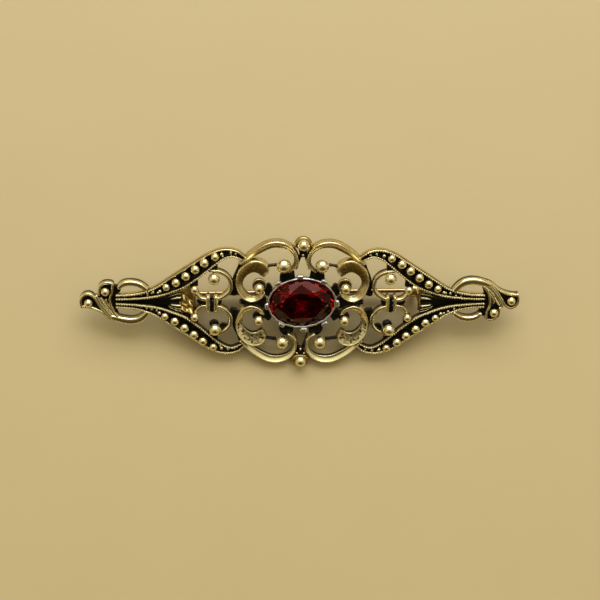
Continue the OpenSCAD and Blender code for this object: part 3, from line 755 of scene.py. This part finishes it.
ends = Shell()
for rows, fit in ((TIP_CURL, TIP_FIT), (HOOK_CURL, HOOK_FIT)):
    wire(ends, [(x, y, fit * w) for x, y, w in rows], END_CREST, start=0.25, edge_z=0.12, walls=(0.35, 0.8))
for rows, width, crest in ((LEAF_RIB, 0.54, END_CREST), (THIRD_RIB, 0.42, 0.5)):
    wire(ends, [(x, y, width) for x, y in rows], crest, start=0.15, end=0.2, edge_z=0.05, back=-0.3,
         step=0.1, walls=(0.5, 0.5))
for x, y, r in END_BALLS:
    ball(ends, x, y, r)
ends.with_half_turn()
arcs = Shell()
for rows, walls in ((LOWER_ARC, (0.75, 0.3)), (UPPER_ARC, (0.3, 0.75))):
    wire(arcs, rows, 0.64, start=0.3, edge_z=0.12, walls=walls)
ends.add(arcs.with_half_turn(ARC_RISE))
# The lines that carry the leaf's beads
LEAF_LINE_W, LEAF_LINE_CREST, LEAF_BEAD_Z = 0.52, 0.46, 0.45
leaf = Shell()
for rib in (BEADED_RIB, BORDER):
    wire(leaf, [(x, y, LEAF_LINE_W) for x, y in rib], LEAF_LINE_CREST, start=0.15, end=0.2, edge_z=0.05,
         step=0.1, walls=(0.9, 0.35))
leaf.with_half_turn()


def web(shell, outline, top, lump=0.22):
    """A rough web of metal with a rounded outline and a lumpy top, black with oxide."""
    bottom = BACK + 0.1
    cx, cy = centre(outline)
    edge = smooth_rows(outline + outline[:1], 0.16)[:-1]
    levels = [(1.0, bottom), (1.0, top - 0.12), (0.97, top - 0.04)]
    levels += [(share, top) for share in (0.86, 0.66, 0.42, 0.18)]
    rings = []
    for share, z in levels:
        ring = []
        for x, y in edge:
            px, py = cx + (x - cx) * share, cy + (y - cy) * share
            rise = lump * lumps(px, py, 2.3, 5.0) * eased(-0.3, top, z)
            ring.append((px, py, z + rise + datum(px), 1.0))
        rings.append(ring)
    shell.sweep(rings)


# Outlines for the upper right quarter, each with the height of its top
WEBS = (
    # Between the setting and the big scrolls, the crescents' balls and their lower ends
    ([(1.05, 3.7), (2.0, 3.4), (3.1, 3.2), (3.2, 4.1), (2.9, 4.8), (2.4, 5.2), (1.8, 5.1), (1.2, 4.8)], 0.0),
    ([(4.2, 2.2), (4.7, 0.95), (5.5, 1.2), (5.5, 2.1), (5.3, 2.6), (4.7, 2.9)], 0.0),
    ([(5.1, -0.06), (6.2, -0.06), (8.2, -0.06), (9.0, 0.2), (8.2, 0.5), (7.0, 0.45), (5.6, 0.95),
      (5.1, 0.6)], 0.0),
    ([(3.6, 5.66), (4.4, 5.60), (5.2, 5.40), (5.2, 5.68), (4.4, 5.80), (3.6, 5.92)], 0.22),
    # Between the crescent and the wing line
    ([(9.02, 6.2), (9.25, 5.5), (9.5, 4.85), (9.93, 3.8), (10.05, 2.85), (10.1, 1.8), (10.3, 1.1),
      (9.8, 0.95), (9.2, 1.2), (9.4, 1.8), (9.5, 2.85), (9.42, 3.8), (9.2, 4.6), (8.95, 5.3),
      (8.8, 6.0)], 0.05),
    # Beside the drop-shaped opening under each edge ball
    ([(0.2, 7.2), (0.6, 7.2), (0.8, 6.2), (1.1, 5.3), (0.8, 5.1), (0.55, 6.0), (0.3, 6.7)], 0.05),
    # Between the ridge and the wing line, and at the wing line's two balls
    ([(12.3, 4.75), (12.1, 5.3), (12.2, 5.9), (12.8, 5.6), (13.4, 5.0), (13.3, 4.6)], 0.08),
    ([(14.9, 2.5), (15.8, 1.9), (16.1, 2.6), (15.5, 3.3), (14.95, 3.3)], 0.08),
    ([(12.45, 3.3), (12.9, 3.3), (12.85, 4.0), (12.75, 4.65), (12.25, 4.65), (12.35, 4.0)], 0.05),
    ([(7.3, 6.9), (7.9, 6.4), (8.5, 5.8), (8.8, 6.1), (8.2, 6.8), (7.6, 7.3)], 0.12),
)
# Lumps above the balls of the lower quarters: x, y, radius
LUMPS = ((6.2, -2.2, 0.85), (-6.2, -2.2, 0.85), (12.6, -3.5, 0.72), (-12.6, -3.5, 0.72))
EIGHTHS = [k * math.pi / 4 for k in range(8)]
# Beside the wing lines' large balls, in the lower quarters alone
SIDE_WEB = [(10.75, -4.0), (10.95, -3.5), (11.6, -3.5), (11.9, -4.2), (11.4, -4.6)]
# Dark metal between the two bands, over the wing lines, about its own middle
BAND_GAP_X, BAND_GAP_Z = 12.93, 0.66
BAND_GAP = [(-0.34, 0.95), (0.34, 0.95), (0.36, 0.2), (0.34, -1.2), (-0.34, -1.2), (-0.36, 0.2)]
webs = Shell()
for outline, top in WEBS:
    web(webs, outline, top)
webs.placed()
for cx, cy, r in LUMPS:
    web(webs, [(cx + r * math.cos(a), cy + 0.8 * r * math.sin(a)) for a in EIGHTHS], 0.15)
for side in (1, -1):
    web(webs, [(side * x, y) for x, y in SIDE_WEB], 0.02)
for side in (-1, 1):
    web(webs, [(side * BAND_GAP_X + x, y) for x, y in BAND_GAP], BAND_GAP_Z, lump=0.1)

# Between the wing lines, under the bands
WING_WEB = [(11.6, -0.35), (13.0, -0.5), (14.6, -0.45), (15.1, 0), (14.6, 0.45), (13.0, 0.5), (11.6, 0.35)]
middle = Shell()
web(middle, WING_WEB, -0.02)
middle.placed(((1, 1), (-1, 1)))

# The dark floors of the left end: inside the tip's curl and between the hook and the leaf
FLOOR_Z = 0.04
TIP_FLOOR = [
    (-31.25, -1.25), (-30.3, -1.15), (-29.2, -1.65), (-28.2, -2.3), (-28.6, -1.5), (-29.4, -0.4),
    (-30.0, 0.6), (-30.65, 1.0), (-31.35, 0.6), (-31.7, -0.4),
]
HOOK_FLOOR = [
    (-29.1, 0.6), (-29.4, -0.4), (-28.6, -1.6), (-27.3, -2.8), (-26.5, -3.0), (-26.3, -2.2), (-26.6, -1.1),
    (-26.5, 0.9), (-26.0, 1.4), (-26.1, 2.2), (-26.9, 2.4), (-27.5, 2.7), (-28.4, 2.5), (-28.95, 1.8),
]
floors = Shell()
for outline in (TIP_FLOOR, HOOK_FLOOR):
    web(floors, outline, FLOOR_Z, lump=0.12)
floors.with_half_turn()


# Lines of small beads

def milgrain_tree():
    """Small beads set close along every line of the piece."""
    tree, i, o = group(
        "milgrain", "GeometryNodeTree",
        [("Lines", "Geometry", None), ("Pitch", "Float", 0.0004), ("Bead radius", "Float", 0.00018),
         ("Unevenness", "Float", 0.12), ("Seed", "Int", 7), ("Metal", "Material", None)],
        [("Beads", "Geometry")],
    )
    curve = node(tree, "GeometryNodeMeshToCurve", {0: i["Lines"]})
    spaced = node(tree, "GeometryNodeResampleCurve", {"Curve": curve.outputs[0], "Length": i["Pitch"]},
                  mode="LENGTH")
    bead = node(tree, "GeometryNodeMeshUVSphere", {"Segments": 8, "Rings": 6, "Radius": i["Bead radius"]})
    place = node(tree, "GeometryNodeInputPosition")
    parts = node(tree, "ShaderNodeSeparateXYZ", {0: place.outputs[0]})
    share = worked_out(tree, "DIVIDE", parts.outputs["Z"], i["Bead radius"])
    depth = node(tree, "ShaderNodeMapRange", {"Value": share, "From Min": 0.75, "From Max": -0.1})
    dark = node(tree, "GeometryNodeStoreNamedAttribute", {
        "Geometry": bead.outputs["Mesh"], "Name": "recess_and_shade", "Value": depth.outputs[0],
    }, data_type="FLOAT", domain="POINT")
    least = worked_out(tree, "SUBTRACT", 1.0, i["Unevenness"])
    most = worked_out(tree, "ADD", 1.0, i["Unevenness"])
    size = node(tree, "FunctionNodeRandomValue", {2: least, 3: most, "Seed": i["Seed"]}, data_type="FLOAT")
    beads = node(tree, "GeometryNodeInstanceOnPoints", {
        "Points": spaced.outputs[0], "Instance": dark.outputs[0], "Scale": size.outputs[1],
    })
    real = node(tree, "GeometryNodeRealizeInstances", {0: beads.outputs[0]})
    smooth = node(tree, "GeometryNodeSetShadeSmooth", {0: real.outputs[0]})
    coated = node(tree, "GeometryNodeSetMaterial", {0: smooth.outputs[0], "Material": i["Metal"]})
    tree.links.new(coated.outputs[0], o["Beads"])
    return tree


def beaded(name, tree, lines, material, sizes):
    """A piece of beads along lines, each a list of x, y, z in the face frame. The beads are made upright in
    that frame, then the piece is laid on the table."""
    mesh = bpy.data.meshes.new(name)
    points, pairs = [], []
    for line in lines:
        first = len(points)
        points += [Vector(p) / 1000 for p in line]
        pairs += [(first + k, first + k + 1) for k in range(len(line) - 1)]
    mesh.from_pydata(points, pairs, [])
    obj = finished(name, mesh, material)
    mod = obj.modifiers.new("beads", "NODES")
    mod.node_group = tree
    values = {"Metal": material, **sizes}
    for item in tree.interface.items_tree:
        if item.in_out == "INPUT" and item.name in values:
            mod[item.identifier] = values[item.name]
    bpy.context.view_layer.update()
    made = bpy.data.meshes.new_from_object(obj.evaluated_get(bpy.context.evaluated_depsgraph_get()))
    obj.modifiers.remove(mod)
    obj.data = made
    made.name = name
    made.transform(FACE @ Matrix.Diagonal((1000, 1000, 1000, 1)))
    made.shade_smooth()
    return obj


def line_over(rows, z, first=0.0, last=1e9, step=0.15):
    """The smooth curve of rows at height z over the domed face, between two x."""
    path = smooth_rows([row[:2] for row in rows], step)
    return [(x, y, z + datum(x)) for x, y in path if first <= abs(x) <= last]


def in_quarters(line, quarters=QUARTERS):
    """A line of the upper right arm, mirrored into the given quarters with the bend of the bar."""
    return [[(sx * x, sy * y + bend(sx * x), z) for x, y, z in line] for sx, sy in quarters]


milgrain = milgrain_tree()
# Heights of the beads over the rims and the ridges, and the x at which their rows end
RIM_Z, RIDGE_Z, BEADS_END = 0.44, 0.53, 26.6
rim_line = line_over([row[:2] for row in ARM], RIM_Z, 8.9, BEADS_END)
ridge_line = line_over([row[2:] for row in ARM], RIDGE_Z, 9.3, BEADS_END)
bar_line = line_over([row[:2] for row in ARM], RIM_Z, 20.0, BEADS_END)
# The rim of the upper left arm is smooth up to the bar
arm_lines = in_quarters(ridge_line) + in_quarters(rim_line, ((1, 1), (1, -1), (-1, -1)))
arm_lines += in_quarters(bar_line, ((-1, 1),))
rim_beads = beaded("rim_beads", milgrain, arm_lines, antique_gold, {
    "Pitch": 0.00036, "Bead radius": 0.00016, "Unevenness": 0.16,
})
leaf_lines = [line_over(rib, LEAF_BEAD_Z, step=0.1) for rib in (BEADED_RIB, BORDER)]
leaf_lines += [[(-x, -y, z) for x, y, z in line] for line in leaf_lines]
leaf_beads = beaded("leaf_beads", milgrain, leaf_lines, antique_gold, {
    "Pitch": 0.00029, "Bead radius": 0.00012, "Unevenness": 0.18, "Seed": 11,
})


# The setting and the stone

def turned_xy(x, y):
    """A place in the setting's own axes, in the axes of the face."""
    c, s = math.cos(SETTING_TURN), math.sin(SETTING_TURN)
    return x * c - y * s, x * s + y * c


def girdle_xy(reach, angle):
    """The place at an angle round the girdle, reach beyond it."""
    return turned_xy((STONE_A + reach) * math.cos(angle), (STONE_B + reach) * math.sin(angle))


def oval_ring(shell, section, sides=96, wave=0.0):
    """A closed oval ring from a section of reach beyond the girdle, height and depth. Wave is how far the
    scallops swing its inner edge."""
    scallops, inner = 20, 0.1
    rings = []
    for i in range(sides):
        t = 2 * math.pi * i / sides
        swing = wave * math.sin(scallops * t)
        ring = []
        for reach, z, depth in section:
            x, y = girdle_xy(reach + (swing if reach < inner else 0.0), t)
            ring.append((x, y, z, depth))
        rings.append(ring)
    shell.sweep(rings, closed=True)


setting = Shell()
# Cup wall, its flange under the casting and the seat of the stone
oval_ring(setting, [
    (-0.75, -2.6, 0.5), (0.08, -0.34, 0.6), (0.27, -0.32, 0.8), (0.29, -0.25, 0.8), (0.29, 0.0, 0.8),
    (0.06, 0.02, 1.0), (0.05, -0.1, 1.0), (-0.10, -0.12, 1.0), (-0.14, -0.3, 1.0), (-0.92, -2.42, 1.0),
])
# The scalloped rim that holds the girdle
oval_ring(setting, [
    (0.28, 0.0, 0.9), (0.30, 0.14, 0.5), (0.27, 0.28, 0.1), (0.20, 0.36, 0.0), (0.12, 0.38, 0.0),
    (0.03, 0.35, 0.0), (-0.04, 0.28, 0.2), (-0.05, 0.2, 0.7), (0.0, 0.12, 1.0), (0.05, 0.0, 1.0),
], sides=240, wave=0.035)
# The closed bottom of the cup
around = [2 * math.pi * i / 64 for i in range(64)]
setting.sweep([
    [(*girdle_xy(reach, a), z, 0.6) for a in around] for reach, z in ((-0.76, -2.6), (-0.80, -2.42))
])


def tab(shell, x, y, w):
    """A soft-cornered tab of width w that stands against the rim."""
    thick, low, high, sides = 0.56, 0.03, 0.55, 20
    out = Vector((x / STONE_A ** 2, y / STONE_B ** 2)).normalized()
    along = Vector((-out.y, out.x))
    levels = (
        (low, 0.98, 0.9), (low + 0.12, 1.0, 0.6), (high - 0.18, 1.0, 0.25), (high - 0.08, 0.95, 0.0),
        (high, 0.72, 0.0),
    )
    rings = []
    for z, f, depth in levels:
        ring = []
        for k in range(sides):
            a = 2 * math.pi * k / sides
            c, s = math.cos(a), math.sin(a)
            u = math.copysign(abs(c) ** 0.4, c) * w / 2 * f
            v = math.copysign(abs(s) ** 0.5, s) * thick / 2 * f
            p = Vector((x, y)) + along * u + out * v
            ring.append((p.x, p.y, z, depth))
        rings.append(ring)
    shell.sweep(rings)


for x, y, w in TABS:
    tab(setting, x, y, w)


# How far the two sides of the foil lie behind the stone
FOIL_SHIFTS = (0.03, 0.07)


def cut_stone(name, material):
    """Table, star facets, kites, girdle facets and a pavilion with a short keel, with the foil behind it."""
    a, b = STONE_A - 0.01, STONE_B - 0.01
    table_z, star_z, girdle_z, outer_z, inner_z, keel_z = 1.42, 0.74, 0.12, -0.92, -1.72, -2.0
    table = [(2.85, 0.62), (1.75, 1.9)]
    table += [(-x, y) for x, y in reversed(table)]
    table += [(-x, -y) for x, y in table]

    def ellipse(share, deg, z):
        return (a * share * math.cos(math.radians(deg)), b * share * math.sin(math.radians(deg)), z)

    # Rings of points from the table down, and the number of each ring's first point
    points = [(x, y, table_z) for x, y in table]
    points += [ellipse(0.86, 45 * (i + 1), star_z) for i in range(8)]
    points += [ellipse(1, 22.5 * (i + 1), girdle_z) for i in range(16)]
    points += [ellipse(1, 22.5 * (i + 1), 0.0) for i in range(16)]
    points += [ellipse(0.60, 45 * i + 22.5, outer_z) for i in range(8)]
    points += [ellipse(0.21, 45 * i, inner_z) for i in range(8)]
    points += [(a * 0.1, 0, keel_z), (-a * 0.1, 0, keel_z)]
    star, upper, lower, outer, inner, keel = 8, 16, 32, 48, 56, 64

    crown = [tuple(range(8))]
    for i in range(8):
        point, before = star + i, star + (i + 7) % 8
        edge = [upper + (2 * i + k) % 16 for k in range(3)]
        crown += [(i, (i + 1) % 8, point), (i, point, edge[0]), (i, edge[0], before)]
        crown += [(point, edge[1], edge[0]), (point, edge[2], edge[1])]
    for i in range(16):
        j = (i + 1) % 16
        crown.append((upper + i, upper + j, lower + j, lower + i))

    # An outer point lies under every second point of the girdle, and an inner one between two outer ones
    pavilion = []
    for i in range(8):
        before, under, after = [lower + (2 * i + k) % 16 for k in (-1, 0, 1)]
        last, here, beside = [outer + (i + k) % 8 for k in (-1, 0, 1)]
        deep, deep_beside = inner + i, inner + (i + 1) % 8
        pavilion += [(before, under, here), (under, after, here), (after, beside, here)]
        pavilion += [(last, here, deep), (here, deep_beside, deep)]
        pavilion.append((deep, deep_beside, keel if i in (0, 1, 6, 7) else keel + 1))
    pavilion += [(inner + 2, keel + 1, keel), (inner + 6, keel, keel + 1)]

    # The foil is a thin closed sheet: the pavilion at one distance, again at another, and a rim between them
    back = len(points)
    sheet = pavilion + [tuple(k + back for k in face) for face in pavilion]
    for i in range(16):
        j = (i + 1) % 16
        sheet.append((lower + i, lower + j, lower + j + back, lower + i + back))

    def build(label, faces, shifts, mat):
        mesh = bpy.data.meshes.new(label)
        laid = []
        for shift in shifts:
            for x, y, z in points:
                x, y = turned_xy(x * (1 + shift / a), y * (1 + shift / b))
                laid.append(FACE @ Vector((x, y, z - shift)))
        mesh.from_pydata(laid, [], faces)
        mesh.attributes.new("recess_and_shade", "FLOAT", "POINT")
        face_outwards(mesh)
        return finished(label, mesh, mat)

    gem = build(name, crown + pavilion, (0.0,), material)
    return gem, build(name + "_foil", sheet, FOIL_SHIFTS, foil)


stone, stone_foil = cut_stone("cut_stone", red_stone)


# Solder and folded metal that show through the left and the right openings, on the pin's two plates

def folds(shell, x0, x1, y0, y1, low, high, layer):
    """A lumpy folded sheet that stands on a plate."""
    step, edge = 0.11, 0.2
    nx, ny = round((x1 - x0) / step), round((y1 - y0) / step)

    def height(x, y):
        fade = min(1.0, *(gap / edge for gap in (x - x0, x1 - x, y - y0, y1 - y)))
        fold = abs(noise.noise(Vector((x * 1.1 + 0.5 * y, y * 0.8, layer)))) * 1.6
        return low + (high - low) * max(0.0, fade) * (0.35 + fold)

    rings = []
    for i in range(nx + 1):
        x = x0 + (x1 - x0) * i / nx
        ring = [(x, y0, low - 0.05, 0.8), (x, y1, low - 0.05, 0.8)]
        for j in range(ny, -1, -1):
            y = y0 + (y1 - y0) * j / ny
            z = height(x, y)
            ring.append((x, y, z, 0.86 - 0.5 * eased(low + 0.2, low + 0.9 * (high - low), z)))
        rings.append(ring)
    shell.sweep(rings)


# First and last x, first and last y, lowest and highest z, layer of the noise
SHEETS = ((-17.75, -15.35, -2.7, 2.7, -0.9, -0.32, 4.0), (17.15, 19.3, -1.4, 1.4, -0.93, -0.62, 8.0))
solder = Shell()
for sheet in SHEETS:
    folds(solder, *sheet)

# Pieces and what they stand for
casting = [
    scrolls.piece("middle_scrolls", antique_gold, 0.012, 1.0),
    crescents.piece("crescents", antique_gold, 0.012, 1.2),
    wing_lines.piece("wing_scrolls", antique_gold, 0.02),
    balls.piece("balls", antique_gold, 0.012),
    edges.piece("edge_balls", antique_gold, 0.012),
    ends.piece("end_scrolls", antique_gold, 0.015),
    arms.piece("arms", antique_gold, 0.02, 2.4),
    bar.piece("bar_floor", antique_gold, 0.012),
    bands.piece("bands", antique_gold, 0.02, 2.0),
    webs.piece("webs", antique_gold, 0.04, 2.5),
    middle.piece("wing_webs", antique_gold, 0.03, 2.5),
    floors.piece("leaf_floors", antique_gold, 0.03, 2.5),
    leaf.piece("leaf_ribs", antique_gold, 0.01),
    rim_beads,
    leaf_beads,
]
for piece in casting:
    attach(piece, "brooch")
    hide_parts("filigree_frame")
solder_piece = solder.piece("solder", fitting_gold, 0.01)
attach(solder_piece, "brooch")
setting_piece = setting.piece("silver_setting", silver, 0.012, 2.6)
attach(setting_piece, "brooch")
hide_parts("stone_setting")
for piece in (stone, stone_foil):
    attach(piece, "brooch")
    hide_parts("stone")
for name, mat in (("pin_joint", fitting_gold), ("joint_rivet", fitting_gold), ("pin_catch", fitting_gold),
                  ("pin_stem", stem_painted_shade)):
    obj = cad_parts[name]
    obj.data.materials.clear()
    obj.data.materials.append(mat)

# Table top, light and camera
TABLE_SIZE, TABLE_GAP = 1.6, 0.00002
bpy.ops.mesh.primitive_plane_add(size=TABLE_SIZE, location=(0, 0, -TABLE_GAP))
table_top = bpy.context.active_object
table_top.name = "table_top"
table_top.data.materials.append(floor_material())

world = bpy.data.worlds.new("room")
bpy.context.scene.world = world
world.use_nodes = True
tree = world.node_tree
tree.nodes.clear()
ray = node(tree, "ShaderNodeTexCoord").outputs["Generated"]


def toward(direction, low, high):
    """0 away from a direction, 1 near it, by the cosines low and high."""
    unit = Vector(direction).normalized()
    near = node(tree, "ShaderNodeVectorMath", {0: ray, 1: tuple(unit)}, operation="DOT_PRODUCT")
    return node(tree, "ShaderNodeMapRange", {"Value": near.outputs[1], "From Min": low, "From Max": high},
                interpolation_type="SMOOTHSTEP").outputs[0]


ROOM, WALL = (0.060, 0.038, 0.008, 1), (0.58, 0.535, 0.39, 1)
PANE, DARK = (0.90, 0.86, 0.59, 1), (0.05, 0.035, 0.02, 1)
# The two side walls, the window's wall and somebody standing in front: direction, cosines, colour
SIDES_OF_ROOM = (
    ((-1, 0.0, 0.75), 0.72, 0.97, WALL), ((1, 0.0, 0.75), 0.72, 0.97, WALL),
    ((0.0, 0.50, 0.87), 0.58, 0.93, PANE), ((0.0, -0.60, 0.80), 0.87, 0.95, DARK),
)
seen = ROOM
for direction, low, high, color in SIDES_OF_ROOM:
    seen = mixed(tree, toward(direction, low, high), seen, color)
shade = node(tree, "ShaderNodeBackground", {"Color": seen, "Strength": 1.0})
node(tree, "ShaderNodeOutputWorld", {"Surface": shade.outputs[0]})

WINDOW_PLACE, WINDOW_SIZE = Vector((0.04, 0.46, 0.46)), (0.7, 0.45)
WINDOW_POWER, WINDOW_COLOR = 3.68, (0.94, 1.0, 1.14)
lamp = bpy.data.lights.new("window", "AREA")
lamp.shape = "RECTANGLE"
lamp.size, lamp.size_y = WINDOW_SIZE
lamp.energy, lamp.color = WINDOW_POWER, WINDOW_COLOR
window = bpy.data.objects.new("window", lamp)
bpy.context.scene.collection.objects.link(window)
window.location = WINDOW_PLACE
window.rotation_euler = (-WINDOW_PLACE).to_track_quat("-Z", "Y").to_euler()

# The camera's angles to the table, and its distance in metres
TILT, YAW, ROLL, DISTANCE = math.radians(23), math.radians(3.42), math.radians(-0.15), 0.197
turn = Matrix.Rotation(ROLL, 3, "Z") @ Matrix.Rotation(YAW, 3, "Y") @ Matrix.Rotation(TILT - LEAN, 3, "X")
# Width of the image in pixels, its scale at that distance, and how far off centre the face's middle lies
PIXELS, PIXELS_PER_MM, SENSOR = 600, 6.93, 36
OFF_X, OFF_Y = -1.7, 2.35
lens = bpy.data.cameras.new("camera")
lens.sensor_width = SENSOR
lens.lens = PIXELS_PER_MM * DISTANCE * 1000 / PIXELS * SENSOR
lens.shift_x, lens.shift_y = OFF_X / PIXELS, OFF_Y / PIXELS
lens.clip_start, lens.clip_end = 0.01, 10
camera = bpy.data.objects.new("camera", lens)
bpy.context.scene.collection.objects.link(camera)
aim = FACE @ Vector((0, 0, 0))
stand = Matrix.Translation(aim + turn.transposed() @ Vector((0, 0, DISTANCE)))
camera.matrix_world = stand @ turn.transposed().to_4x4()
bpy.context.scene.camera = camera
bpy.context.scene.view_settings.view_transform = "Standard"
